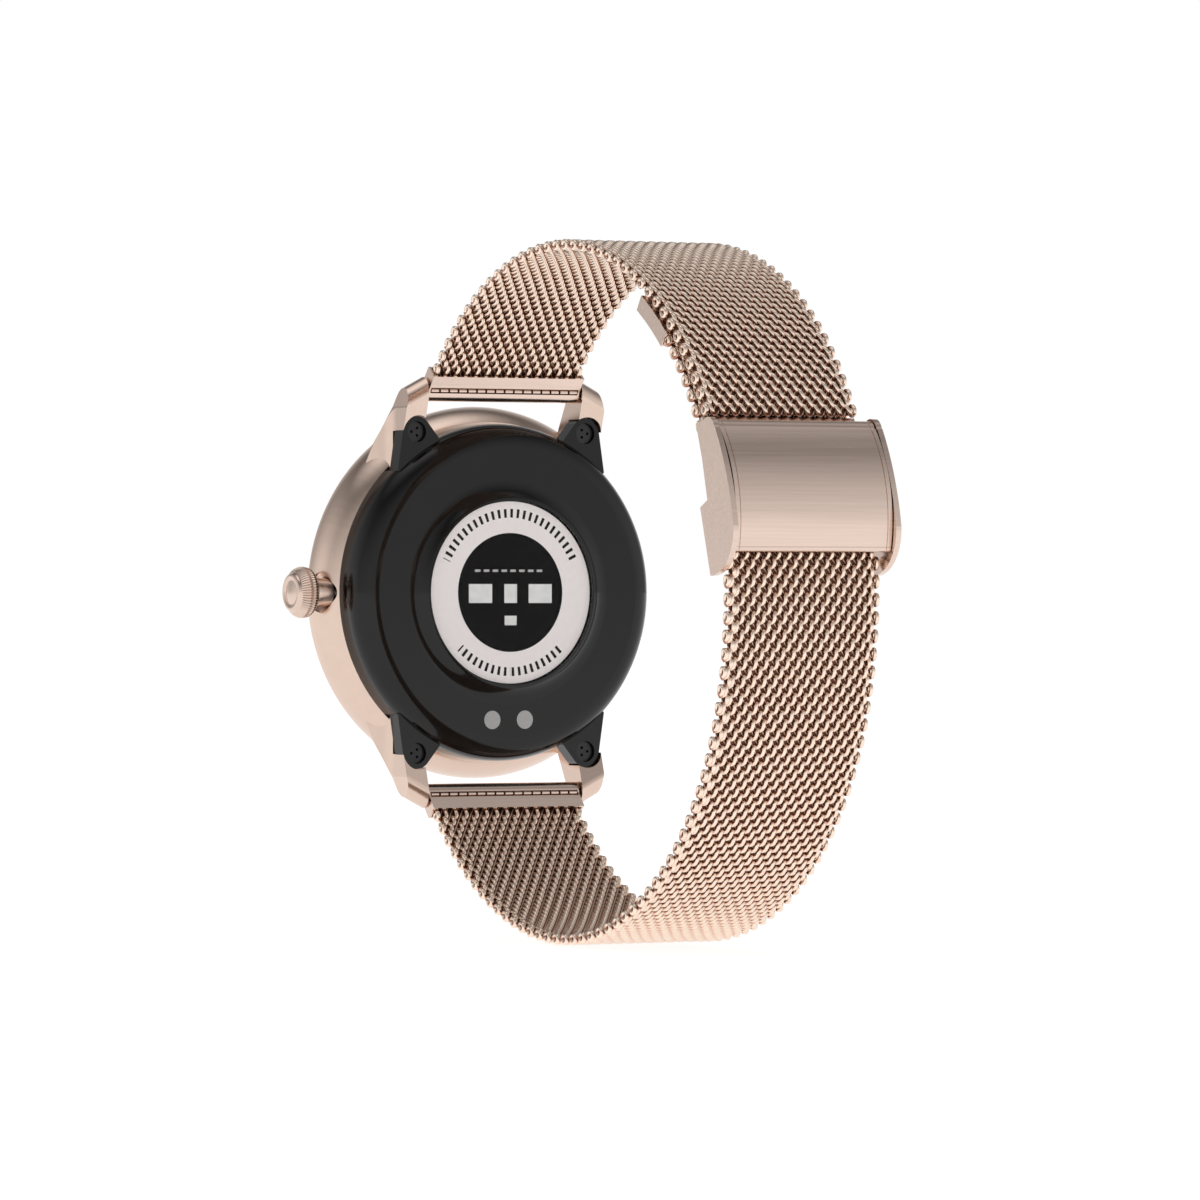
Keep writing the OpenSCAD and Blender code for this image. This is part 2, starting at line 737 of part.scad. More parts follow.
module clasp_cover() color(rose) difference() {
  clasp_side(-cover_half, cover_half) cover_plan();
  clasp_side(-far, far) translate(hinge) circle(hinge_d/2 + run_clear);
  for (m = [0, 1]) mirror([m, 0, 0]) clasp_side(rim_x, rim_x + 0.1) difference() {
    translate([-9, 0]) square([20, 9]);
    translate(cover_mid) circle(cover_arc - 0.12);
  }
}

module clasp_tongue() color(steel) clasp_side(-6, 6) intersection() {
  translate(cover_mid) circle(cover_arc - cover_t);
  polygon([[-0.9, 3], [-1.4, 3], [-4.9, 0.45], [-4.9, 0.1], [-3.3, 0.1], [-3.3, 0.45],
    [-4.2, 0.45]]);
}

module clasp_slider() color(steel) side(-mesh_w/2, mesh_w/2)
  band(168, 174, 0.45, -mesh_t/2 - 0.225, slips = true);

case_body();
bezel_ring();
cover_glass();
glass_seal();
display_panel();
display_flex();
inner_frame();
main_board();
board_chips();
shield_can();
battery();
vibration_motor();
antenna();
push_switch();
switch_plunger();
crown_tube();
crown_knob();
crown_stem();
crown_clip();
crown_seals();
rear_cover();
rear_seal();
rear_screws();
sensor_lens();
lens_print_ring();
lens_print_disc();
sensor_windows();
sensor_board();
sensor_chips();
sensor_baffle();
charging_contacts();
charging_magnets();
end_plate();  // upper_end_plate
end_beads();  // upper_end_beads
bar_barrel();  // upper_bar_barrel
bar_tip(-1);  // upper_bar_tip_left
bar_tip(1);  // upper_bar_tip_right
bar_spring(-1);  // upper_spring_left
bar_spring(1);  // upper_spring_right
upper_mesh();
strap_anchor();
clasp_frame();
clasp_hinge_pin();
clasp_cover();
clasp_tongue();
lower() end_plate();  // lower_end_plate
lower() end_beads();  // lower_end_beads
lower() bar_barrel();  // lower_bar_barrel
lower() bar_tip(-1);  // lower_bar_tip_left
lower() bar_tip(1);  // lower_bar_tip_right
lower() bar_spring(-1);  // lower_spring_left
lower() bar_spring(1);  // lower_spring_right
lower_mesh();
tail_cap();
clasp_slider();
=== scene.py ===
import math
import bpy
import numpy as np
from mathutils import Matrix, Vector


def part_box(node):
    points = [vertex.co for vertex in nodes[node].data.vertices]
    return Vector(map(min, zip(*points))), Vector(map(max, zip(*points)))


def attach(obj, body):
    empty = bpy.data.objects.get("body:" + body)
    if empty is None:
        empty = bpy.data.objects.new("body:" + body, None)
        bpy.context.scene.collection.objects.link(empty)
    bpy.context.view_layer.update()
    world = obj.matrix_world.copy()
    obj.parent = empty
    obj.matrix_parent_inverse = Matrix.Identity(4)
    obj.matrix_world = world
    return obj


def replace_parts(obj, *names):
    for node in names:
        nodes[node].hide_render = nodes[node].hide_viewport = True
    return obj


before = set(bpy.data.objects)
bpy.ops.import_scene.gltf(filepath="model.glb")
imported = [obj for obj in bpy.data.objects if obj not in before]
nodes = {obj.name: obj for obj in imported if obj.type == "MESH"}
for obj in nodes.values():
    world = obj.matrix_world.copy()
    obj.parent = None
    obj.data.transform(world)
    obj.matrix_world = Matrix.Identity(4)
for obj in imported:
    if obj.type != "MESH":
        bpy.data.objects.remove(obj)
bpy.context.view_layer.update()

mm = 0.001
print("frame loaded:", len(nodes), "nodes")

# place = aim + distance * (sin azimuth, -cos azimuth, 0)
cameraSettings = {"azimuth": -29.5, "distance": 848.0, "aim": (0.0, -20.25, -0.86), "fov": 9.05,
                  "sensor": 36.0, "clip": (0.02, 20)}


def makeCamera(s):
    # lens length = half the sensor / tan(half the field of view)
    az = math.radians(s["azimuth"])
    data = bpy.data.cameras.new("studioCamera")
    camera = bpy.data.objects.new("studioCamera", data)
    bpy.context.scene.collection.objects.link(camera)
    back = np.array([math.sin(az), -math.cos(az), 0.0])
    camera.location = (np.array(s["aim"]) + back * s["distance"]) * mm
    camera.rotation_euler = (math.radians(90), 0, az)
    data.sensor_width = s["sensor"]
    data.sensor_fit = "HORIZONTAL"
    data.lens = s["sensor"] / 2 / math.tan(math.radians(s["fov"]) / 2)
    data.clip_start, data.clip_end = s["clip"]
    bpy.context.scene.camera = camera


makeCamera(cameraSettings)


def newMaterial(name):
    # an empty material with one shader on its output
    mat = bpy.data.materials.new(name)
    mat.use_nodes = True
    tree = mat.node_tree
    tree.nodes.clear()
    out = tree.nodes.new("ShaderNodeOutputMaterial")
    shader = tree.nodes.new("ShaderNodeBsdfPrincipled")
    tree.links.new(shader.outputs[0], out.inputs[0])
    return mat, tree, shader


def node(tree, kind, inputs=None, **values):
    # one node with its settings, and its sockets either set or linked
    n = tree.nodes.new(kind)
    for key, value in values.items():
        setattr(n, key, value)
    for key, value in (inputs or {}).items():
        if isinstance(value, bpy.types.NodeSocket):
            tree.links.new(value, n.inputs[key])
        else:
            n.inputs[key].default_value = value
    return n


def rgb(r, g, b):
    # an opaque colour
    return (r, g, b, 1.0)


def ramp(tree, fac, stops):
    # a colour that runs straight from one (place, colour) stop to the next
    n = node(tree, "ShaderNodeValToRGB", {"Fac": fac})
    while len(n.color_ramp.elements) < len(stops):
        n.color_ramp.elements.new(0.5)
    for element, (at, colour) in zip(n.color_ramp.elements, stops):
        element.position = at
        element.color = colour if len(colour) == 4 else (*colour, 1.0)
    return n.outputs["Color"]


def maths(tree, op, *values):
    # one sum on up to three values
    return node(tree, "ShaderNodeMath", dict(enumerate(values)), operation=op).outputs[0]


def between(tree, value, low, high):
    # 1 where low < value < high, else 0
    over = maths(tree, "GREATER_THAN", value, low)
    return maths(tree, "MULTIPLY", over, maths(tree, "LESS_THAN", value, high))


def ownCoord(tree):
    # the object's own place in metres
    return node(tree, "ShaderNodeTexCoord").outputs["Object"]


def speckle(tree, vector, scale, detail):
    # fine noise from 0 to 1
    noise = node(tree, "ShaderNodeTexNoise", {"Vector": vector, "Scale": scale, "Detail": detail})
    return noise.outputs["Fac"]


def spread(tree, value, low, high):
    # low + value * (high - low)
    return node(tree, "ShaderNodeMapRange", {"Value": value, "To Min": low, "To Max": high}).outputs[0]


def blend(tree, share, under, over):
    # under * (1 - share) + over * share
    return node(tree, "ShaderNodeMix", {"Factor": share, "A": under, "B": over},
                data_type="RGBA").outputs["Result"]


def tune(shader, colour=None, rough=None, normal=None, **fixed):
    # links the three moving inputs and sets the fixed ones, written with _ for a space
    for key, socket in (("Base Color", colour), ("Roughness", rough), ("Normal", normal)):
        if socket is not None:
            shader.id_data.links.new(socket, shader.inputs[key])
    for key, value in fixed.items():
        shader.inputs[key.replace("_", " ")].default_value = value


def bumpFrom(tree, height, strength, distance=0.00002):
    # normal = surface normal tilted by strength * distance * slope of height
    n = node(tree, "ShaderNodeBump", {"Height": height, "Strength": strength, "Distance": distance})
    return n.outputs[0]


def assign(name, mat):
    # the node wears this one material
    o = nodes[name]
    o.data.materials.clear()
    o.data.materials.append(mat)


def meshPiece(name, verts, faces, mat, body, smooth=True):
    # verts is an (n, 3) array in metres and faces an (m, 3 or 4) array
    data = bpy.data.meshes.new(name)
    verts = np.ascontiguousarray(verts, dtype=np.float32)
    faces = np.ascontiguousarray(faces, dtype=np.int32)
    sides = faces.shape[1]
    data.vertices.add(len(verts))
    data.vertices.foreach_set("co", verts.ravel())
    data.loops.add(faces.size)
    data.loops.foreach_set("vertex_index", faces.ravel())
    data.polygons.add(len(faces))
    data.polygons.foreach_set("loop_start", np.arange(0, faces.size, sides, dtype=np.int32))
    data.polygons.foreach_set("loop_total", np.full(len(faces), sides, dtype=np.int32))
    data.polygons.foreach_set("use_smooth", np.full(len(faces), smooth))
    data.update(calc_edges=True)
    data.validate()
    data.materials.append(mat)
    piece = bpy.data.objects.new(name, data)
    bpy.context.scene.collection.objects.link(piece)
    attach(piece, body)
    return piece


roseSettings = {"base": (0.73, 0.565, 0.475), "roughness": 0.2, "brush": 0.01, "streak": 0.02,
                "stretch": (700, 700, 700)}
claspSettings = {"base": (0.76, 0.60, 0.515), "roughness": 0.25, "brush": 0.015, "streak": 0.05,
                 "stretch": (60, 4000, 4000)}
plateSettings = {"base": (0.77, 0.605, 0.52), "roughness": 0.2, "brush": 0.02, "streak": 0.05,
                 "stretch": (80, 3000, 3000)}
# the last three entries of the wire settings paint shade on the wires: dark brown near the strap's middle
# layer, fading out towards the top of the weave
wireSettings = {"base": (1.0, 0.79, 0.66), "roughness": 0.24, "brush": 0.01, "streak": 0.05,
                "stretch": (800, 800, 800), "deepShade": (0.42, 0.16, 0.09), "shadeFrom": 0.1, "shadeTo": 0.75}


def roseMetal(name, s):
    # colour = base * (1 +- streak), roughness +- streak, and bump, all from one stretched noise
    mat, tree, shader = newMaterial(name)
    place = node(tree, "ShaderNodeMapping", {"Vector": ownCoord(tree), "Scale": s["stretch"]}).outputs[0]
    grain = node(tree, "ShaderNodeTexNoise",
                 {"Vector": place, "Scale": 1.0, "Detail": 4.0, "Roughness": 0.6}).outputs["Fac"]
    k = s["streak"]
    colour = ramp(tree, grain, [(0.3, [c * (1 - k) for c in s["base"]]),
                                (0.7, [min(1, c * (1 + k)) for c in s["base"]])])
    tune(shader, colour, spread(tree, grain, s["roughness"] - k, s["roughness"] + k),
         bumpFrom(tree, grain, s["brush"]), Metallic=1.0)
    return mat


def plainMetal(name, base, roughness, grain=900):
    # colour = base * (0.9 to 1) and roughness * (0.85 to 1.2), both from one noise
    mat, tree, shader = newMaterial(name)
    speck = speckle(tree, ownCoord(tree), grain, 3.0)
    tune(shader, ramp(tree, speck, [(0.35, [c * 0.9 for c in base]), (0.7, base)]),
         spread(tree, speck, roughness * 0.85, roughness * 1.2), bumpFrom(tree, speck, 0.05), Metallic=1.0)
    return mat


def plastic(name, base, roughness, grain=2500, bump=0.1, **fixed):
    # colour = base * (0.82 to 1) and roughness * (0.8 to 1.25), both from one noise
    mat, tree, shader = newMaterial(name)
    speck = speckle(tree, ownCoord(tree), grain, 4.0)
    tune(shader, ramp(tree, speck, [(0.35, [c * 0.82 for c in base]), (0.7, base)]),
         spread(tree, speck, roughness * 0.8, roughness * 1.25), bumpFrom(tree, speck, bump),
         Coat_Roughness=0.04, **fixed)
    return mat


def clearLens(name):
    # a dark, nearly clear sheet that mostly shows its reflections
    mat, tree, shader = newMaterial(name)
    tune(shader, rough=spread(tree, speckle(tree, ownCoord(tree), 400.0, 2.0), 0.02, 0.05),
         Base_Color=rgb(0.02, 0.02, 0.022), Alpha=0.08)
    return mat


def boardMaterial(name):
    # green mask with copper tracks: a brick pattern of thin lines
    mat, tree, shader = newMaterial(name)
    turn = node(tree, "ShaderNodeMapping", {"Vector": ownCoord(tree),
                                            "Rotation": (math.radians(90), 0, 0)}).outputs[0]
    track = node(tree, "ShaderNodeTexBrick",
                 {"Vector": turn, "Scale": 700.0, "Mortar Size": 0.04, "Color1": rgb(0.01, 0.11, 0.05),
                  "Color2": rgb(0.012, 0.14, 0.06), "Mortar": rgb(0.1, 0.3, 0.1)})
    raised = bumpFrom(tree, track.outputs["Fac"], 0.2, 0.00003)
    tune(shader, track.outputs["Color"], None, raised, Roughness=0.4)
    return mat


discMarks = {"half": 4.6, "low": 2.35, "high": 2.62, "step": 1.15, "dash": 0.62}


def printedDisc(name, s):
    # black lacquer with a row of short pale dashes: fract(x / step) < dash in a band of x and z
    mat, tree, shader = newMaterial(name)
    coord = ownCoord(tree)
    part = node(tree, "ShaderNodeSeparateXYZ", {"Vector": coord})
    x, z = part.outputs["X"], part.outputs["Z"]
    cell = maths(tree, "FRACT", maths(tree, "MULTIPLY", x, 1 / (s["step"] * mm)))
    dash = maths(tree, "LESS_THAN", cell, s["dash"])
    band = maths(tree, "MULTIPLY", between(tree, x, -s["half"] * mm, s["half"] * mm),
                 between(tree, z, s["low"] * mm, s["high"] * mm))
    ink = maths(tree, "MULTIPLY", dash, band)
    black = ramp(tree, speckle(tree, coord, 1500.0, 2.0), [(0.3, (0.006, 0.006, 0.006)),
                                                          (0.7, (0.009, 0.0085, 0.0085))])
    tune(shader, blend(tree, ink, black, rgb(0.75, 0.75, 0.74)), Roughness=0.6, Specular_IOR_Level=0.05)
    return mat


ringMarks = {"step": 5.2, "tick": 0.42, "topArc": 66.0, "bottomArc": 46.0, "inner": 8.55, "outer": 9.55}


def printedGlowRing(name, s):
    # white lacquer with radial ticks: fract(angle / step) < tick inside two arcs and between two radii, and a
    # faint glow of painted light on the print that lifts the white
    mat, tree, shader = newMaterial(name)
    coord = ownCoord(tree)
    part = node(tree, "ShaderNodeSeparateXYZ", {"Vector": coord})
    x, z = part.outputs["X"], part.outputs["Z"]
    squares = maths(tree, "ADD", maths(tree, "MULTIPLY", x, x), maths(tree, "MULTIPLY", z, z))
    radius = maths(tree, "SQRT", squares)
    angle = maths(tree, "ARCTAN2", x, z)
    cell = maths(tree, "FRACT", maths(tree, "MULTIPLY", angle, 180 / math.pi / s["step"]))
    tick = maths(tree, "LESS_THAN", cell, s["tick"])
    size = maths(tree, "ABSOLUTE", angle)
    top = maths(tree, "LESS_THAN", size, math.radians(s["topArc"]))
    bottom = maths(tree, "GREATER_THAN", size, math.radians(180 - s["bottomArc"]))
    place = maths(tree, "MULTIPLY", between(tree, radius, s["inner"] * mm, s["outer"] * mm),
                  maths(tree, "MAXIMUM", top, bottom))
    ink = maths(tree, "MULTIPLY", tick, place)
    white = ramp(tree, speckle(tree, coord, 1800.0, 2.0), [(0.3, (0.93, 0.87, 0.855)),
                                                          (0.7, (0.96, 0.91, 0.90))])
    colour = blend(tree, ink, white, rgb(0.02, 0.018, 0.018))
    # the print's colour also feeds a faint glow: painted light that brightens the white ring
    tree.links.new(colour, shader.inputs["Emission Color"])
    tune(shader, colour, Emission_Strength=0.25, Roughness=0.6, Specular_IOR_Level=0.1)
    return mat


# where the painted shade goes in the end plates' groove
plateGroove = {"z": 22.98, "half": 0.3, "side": 9.6, "floor": 2.21}


def paintedGrooveShade(mat, s):
    # painted shade in the groove: mixes a dark brown in where | |z| - z0 | < half, |x| < side and y < floor
    shader, tree = mat.node_tree.nodes["Principled BSDF"], mat.node_tree
    plain = shader.inputs["Base Color"].links[0].from_socket
    part = node(tree, "ShaderNodeSeparateXYZ", {"Vector": ownCoord(tree)})
    x, y, z = part.outputs["X"], part.outputs["Y"], part.outputs["Z"]
    off = maths(tree, "ABSOLUTE", maths(tree, "SUBTRACT", maths(tree, "ABSOLUTE", z), s["z"] * mm))
    near = maths(tree, "LESS_THAN", off, s["half"] * mm)
    inside = maths(tree, "LESS_THAN", maths(tree, "ABSOLUTE", x), s["side"] * mm)
    deepShade = maths(tree, "LESS_THAN", y, s["floor"] * mm)
    mask = maths(tree, "MULTIPLY", near, maths(tree, "MULTIPLY", inside, deepShade))
    tune(shader, blend(tree, mask, plain, rgb(0.05, 0.02, 0.01)))
    return mat


def paintedWeaveShade(mat, s):
    # painted shade: colour = mix(dark brown, colour, smoothstep(depth)), so the wires darken towards the
    # strap's middle layer where shade falls between them; depth is 1 on top of the weave
    shader, tree = mat.node_tree.nodes["Principled BSDF"], mat.node_tree
    plain = shader.inputs["Base Color"].links[0].from_socket
    uv = node(tree, "ShaderNodeUVMap", uv_map="depthUV").outputs[0]
    part = node(tree, "ShaderNodeSeparateXYZ", {"Vector": uv})
    top = node(tree, "ShaderNodeMapRange", {"Value": part.outputs["X"], "From Min": s["shadeFrom"],
                                             "From Max": s["shadeTo"]},
               interpolation_type="SMOOTHSTEP").outputs[0]
    tune(shader, blend(tree, top, rgb(*s["deepShade"]), plain))
    return mat


# the last four entries size the dark sheet of painted shade between the wire layers and set the width of its
# painted highlight lines
weaveSettings = {"width": 19.0, "thick": 1.34, "wire": 0.25, "turns": 14, "row": 0.98, "reach": 1.8,
                 "endReach": 1.45, "sway": 1.1, "lean": 0.9, "steps": 12, "sides": 6, "ringDepth": 0.7,
                 "sheetInset": 0.5, "sheetThick": 0.2, "sheetSteps": 160, "highlightCut": 0.93}
lowerSettings = dict(weaveSettings, lean=0.1)


def coilPitch(s):
    # pitch = (width - 2 * wire) / turns
    return (s["width"] - 2 * s["wire"]) / s["turns"]


def paintedGapSheet(name, s):
    # painted shade and highlights: dark brown metal for the shaded gaps between the wires, with bright
    # slanted lines painted as the glints of deeper wires where sin(pi * fract(2 x / pitch + along / row)) is
    # above the highlight cut
    mat, tree, shader = newMaterial(name)
    uv = node(tree, "ShaderNodeUVMap", uv_map="weaveUV").outputs[0]
    part = node(tree, "ShaderNodeSeparateXYZ", {"Vector": uv})
    slope = maths(tree, "ADD", maths(tree, "MULTIPLY", part.outputs["X"], 2 / coilPitch(s)),
                  maths(tree, "MULTIPLY", part.outputs["Y"], 1 / s["row"]))
    turn = maths(tree, "MULTIPLY", maths(tree, "FRACT", slope), math.pi)
    wire = maths(tree, "GREATER_THAN", maths(tree, "SINE", turn), s["highlightCut"])
    deepShade = ramp(tree, speckle(tree, ownCoord(tree), 900.0, 3.0), [(0.3, (0.08, 0.03, 0.014)),
                                                                 (0.7, (0.14, 0.06, 0.03))])
    tune(shader, blend(tree, wire, deepShade, rgb(0.85, 0.62, 0.5)), None, bumpFrom(tree, wire, 0.4, 0.00005),
         Metallic=0.7, Roughness=0.45)
    return mat


roseMetal("roseCase", roseSettings)
roseMetal("roseClasp", claspSettings)
roseMetal("rosePlate", plateSettings)
paintedGrooveShade(roseMetal("shadedGroovePlate", plateSettings), plateGroove)
paintedWeaveShade(roseMetal("wireMetal", wireSettings), wireSettings)
paintedGapSheet("weaveShadeSheet", weaveSettings)
plainMetal("turnedSteel", (0.55, 0.54, 0.53), 0.3)
plainMetal("padSteel", (0.42, 0.415, 0.41), 0.42, 3000)
plainMetal("sheetSteel", (0.6, 0.6, 0.6), 0.35, 500)
plainMetal("blackScrew", (0.05, 0.05, 0.052), 0.35)
plastic("glossBlack", (0.0045, 0.0042, 0.0042), 0.1, 300, 0.01, IOR=1.41)
plastic("frontGlass", (0.008, 0.008, 0.01), 0.05, 300, 0.0, Coat_Weight=1.0)
plastic("mattBlack", (0.03, 0.03, 0.032), 0.5)
plastic("sealRubber", (0.04, 0.04, 0.04), 0.65)
plastic("amberFilm", (0.55, 0.25, 0.05), 0.35)
# the sensor windows glow faintly: painted light that lifts their white
plastic("windowWhiteGlow", (0.86, 0.87, 0.86), 0.35, 900, 0.02, Emission_Color=rgb(1, 1, 0.99),
        Emission_Strength=0.22)
printedDisc("printBlack", discMarks)
printedGlowRing("ringPrintGlow", ringMarks)
clearLens("lensClear")
boardMaterial("greenBoard")

finishes = {
    "roseCase": ["case_body", "bezel_ring", "crown_knob"], "frontGlass": ["cover_glass", "display_panel"],
    "sealRubber": ["glass_seal", "crown_seals", "rear_seal"], "amberFilm": ["display_flex", "antenna"],
    "mattBlack": ["inner_frame", "board_chips", "sensor_baffle", "switch_plunger", "sensor_chips"],
    "greenBoard": ["main_board", "sensor_board"],
    "sheetSteel": ["shield_can", "battery", "vibration_motor", "push_switch", "charging_magnets"],
    "turnedSteel": ["crown_tube", "crown_stem", "crown_clip", "clasp_hinge_pin", "clasp_tongue",
                    "upper_bar_barrel", "upper_bar_tip_left", "upper_bar_tip_right", "upper_spring_left",
                    "upper_spring_right", "lower_bar_barrel", "lower_bar_tip_left", "lower_bar_tip_right",
                    "lower_spring_left", "lower_spring_right"],
    "glossBlack": ["rear_cover"], "blackScrew": ["rear_screws"], "lensClear": ["sensor_lens"],
    "ringPrintGlow": ["lens_print_ring"], "printBlack": ["lens_print_disc"], "windowWhiteGlow": ["sensor_windows"],
    "padSteel": ["charging_contacts"],
    "shadedGroovePlate": ["upper_end_plate", "lower_end_plate"],
    "rosePlate": ["upper_end_beads", "lower_end_beads", "tail_cap", "strap_anchor"],
    "roseClasp": ["clasp_frame", "clasp_cover", "clasp_slider"]}
materials = bpy.data.materials
for finish, names in finishes.items():
    for name in names:
        assign(name, materials[finish])
print("finishes set on", sum(len(v) for v in finishes.values()), "nodes")

loopSettings = {"barY": 3.1, "barZ": 22.95, "depth": 27.6, "flat": 2.25, "flatAngle": 18.5, "layer": 1.75,
                "slipFrom": 174.0, "slipTo": 162.0, "upperEnd": 152.4, "tailEnd": 122.5, "plateReach": 1.75,
                "steps": 1500}


def loopPoint(a, d, s):
    # the strap's middle line in its side view: three arcs, mirrored past 180 degrees
    low = a > 180
    b = np.radians(np.where(low, 360 - a, a))
    armY, armZ = s["barY"] + s["depth"], s["barZ"]
    loopR = math.hypot(armY, armZ)
    sideR = loopR - s["flat"]
    fa = math.radians(s["flatAngle"])
    backY = -s["depth"] + s["flat"] / math.tan(fa)
    backR = sideR + s["flat"] / math.sin(fa)
    first, second = b <= math.pi / 2, b <= math.pi - fa
    cy = np.where(second, -s["depth"], backY)
    cz = np.where(first | ~second, 0.0, s["flat"])
    r = np.where(first, loopR, np.where(second, sideR, backR)) + d
    y, z = cy + r * np.cos(b), cz + r * np.sin(b)
    return y, np.where(low, -z, z)


def slipOf(a, s):
    # the lower strap sinks by one layer: -layer * smoothstep
    u = np.clip((s["slipFrom"] - a) / (s["slipFrom"] - s["slipTo"]), 0, 1)
    return -s["layer"] * u * u * (3 - 2 * u)


def strapRail(a0, a1, slips, s):
    # points and outward normals (dz, -dy) / size against length, the running sum of the steps
    a = np.linspace(a0, a1, s["steps"])
    shift = slipOf(a, s) if slips else np.zeros_like(a)
    y, z = loopPoint(a, shift, s)
    dy, dz = np.gradient(y), np.gradient(z)
    size = np.hypot(dy, dz)
    length = np.concatenate([[0], np.cumsum(np.hypot(np.diff(y), np.diff(z)))])
    return length, y, z, dz / size, -dy / size


def onRail(rail, x, s, n):
    # place = (x, point at s + n * normal at s)
    length, y, z, ny, nz = rail
    py, pz = np.interp(s, length, y), np.interp(s, length, z)
    my, mz = np.interp(s, length, ny), np.interp(s, length, nz)
    size = np.hypot(my, mz)
    return np.stack([x, py + n * my / size, pz + n * mz / size], axis=-1) * mm


def tubeRings(path, radius, sides):
    # p + r * (cos v * side + sin v * up) around each point p, side being x less its part along the path
    tangent = np.gradient(path, axis=0)
    tangent /= np.linalg.norm(tangent, axis=1)[:, None]
    ref = np.array([1.0, 0.0, 0.0])
    side = ref - (tangent @ ref)[:, None] * tangent
    side /= np.linalg.norm(side, axis=1)[:, None]
    up = np.cross(tangent, side)
    v = np.linspace(0, 2 * np.pi, sides, endpoint=False)
    return path[:, None, :] + radius * (np.cos(v)[None, :, None] * side[:, None, :]
                                        + np.sin(v)[None, :, None] * up[:, None, :])


def tubeFaces(rings, sides):
    # four-sided faces between each ring and the next
    i = np.arange(rings - 1)[:, None]
    j = np.arange(sides)[None, :]
    k = (j + 1) % sides
    a, b = i * sides + j, i * sides + k
    return np.stack([a, a + sides, b + sides, b], axis=-1).reshape(-1, 4)


def coilTemplate(s, hand, odd):
    # one flattened coil with a flat ring at each end, g being f held within the coil's turns:
    # x = pitch / 2pi * (g + sway / 2 * sin 2g + lean * (1 - cos g)),
    # along = reach / 2 * cos f and out = height / 2 * sin f
    turns = s["turns"] - (1 if odd else 0)
    pitch = coilPitch(s)
    f = np.linspace(-2 * np.pi, 2 * np.pi * (turns + 1), (turns + 2) * s["steps"] + 1)
    g = np.clip(f, 0, 2 * np.pi * turns)
    bend = s["sway"] / 2 * np.sin(2 * g) + s["lean"] * (1 - np.cos(g))
    x = pitch / (2 * np.pi) * (g + bend) - turns * pitch / 2
    past = np.minimum(np.abs(f - g) / (np.pi / 2), 1)
    reach = s["reach"] + (s["endReach"] - s["reach"]) * past - 2 * s["wire"]
    path = np.stack([x, -hand * reach / 2 * np.cos(f), (s["thick"] / 2 - s["wire"]) * np.sin(f)], axis=-1)
    rings = tubeRings(path, s["wire"], s["sides"])
    last = s["sides"] * (len(path) - 1)
    ends = [[0, 1, 2, 3], [0, 3, 4, 5], [last + 3, last + 2, last + 1, last],
            [last + 5, last + 4, last + 3, last]]
    faces = np.concatenate([tubeFaces(len(path), s["sides"]), ends])
    points = rings.reshape(-1, 3)
    # depth runs from 0 at the strap's middle layer to 1 on top and steers the painted shade on the wires
    depth = np.maximum(np.abs(points[:, 2]) / (s["thick"] / 2), np.repeat(past, s["sides"]) * s["ringDepth"])
    return points, faces if hand > 0 else faces[:, ::-1], depth


def addUv(piece, name, values):
    # one (u, v) per corner of the piece's faces
    layer = piece.data.uv_layers.new(name=name)
    layer.data.foreach_set("uv", values.astype(np.float32).ravel())


def weave(name, rail, start, stop, hand, s, body):
    # coil centres = start + (i + 1/2) * length / count, every other coil half a pitch aside
    count = int((stop - start) / s["row"])
    centres = start + (np.arange(count) + 0.5) * (stop - start) / count
    vertSets, faceSets, depthSets, base = [], [], [], 0
    for odd in (0, 1):
        verts, faces, depth = coilTemplate(s, hand, odd)
        at = centres[odd::2]
        flat = (verts[None] + at[:, None, None] * np.array([0.0, 1.0, 0.0])).reshape(-1, 3)
        vertSets.append(onRail(rail, flat[:, 0], flat[:, 1], flat[:, 2]))
        steps = base + np.arange(len(at)) * len(verts)
        faceSets.append((faces[None] + steps[:, None, None]).reshape(-1, 4))
        depthSets.append(np.tile(depth, len(at)))
        base += len(at) * len(verts)
    allFaces = np.concatenate(faceSets)
    piece = meshPiece(name, np.concatenate(vertSets), allFaces, materials["wireMetal"], body)
    # each corner's depth, for the painted shade on the wires
    across = np.concatenate(depthSets)[allFaces.ravel()]
    addUv(piece, "depthUV", np.stack([across, np.zeros_like(across)], axis=-1))
    print(name, count, "coils,", 2 * len(piece.data.polygons), "triangles")
    return piece


def shadeSheetBand(name, rail, start, stop, hand, s, body):
    # a thin closed dark strip between the wires' two layers, a sheet of painted shade with painted wire
    # highlights, with (x, along) in mm as its UV
    u = np.linspace(start, stop, s["sheetSteps"])
    half, t = s["width"] / 2 - s["sheetInset"], s["sheetThick"] / 2
    corners = np.array([(-half, -t), (half, -t), (half, t), (-half, t)])
    flat = np.concatenate([np.tile(corners, (len(u), 1)), np.repeat(u, 4)[:, None]], axis=1)
    verts = onRail(rail, flat[:, 0], flat[:, 2], flat[:, 1])
    last = 4 * (len(u) - 1)
    caps = [[0, 3, 2, 1], [last, last + 1, last + 2, last + 3]]
    faces = np.concatenate([tubeFaces(len(u), 4), caps])[:, ::-1]
    piece = meshPiece(name, verts, faces, materials["weaveShadeSheet"], body, smooth=False)
    addUv(piece, "weaveUV", np.stack([flat[:, 0] * hand, flat[:, 2] - start], axis=-1)[faces.ravel()])


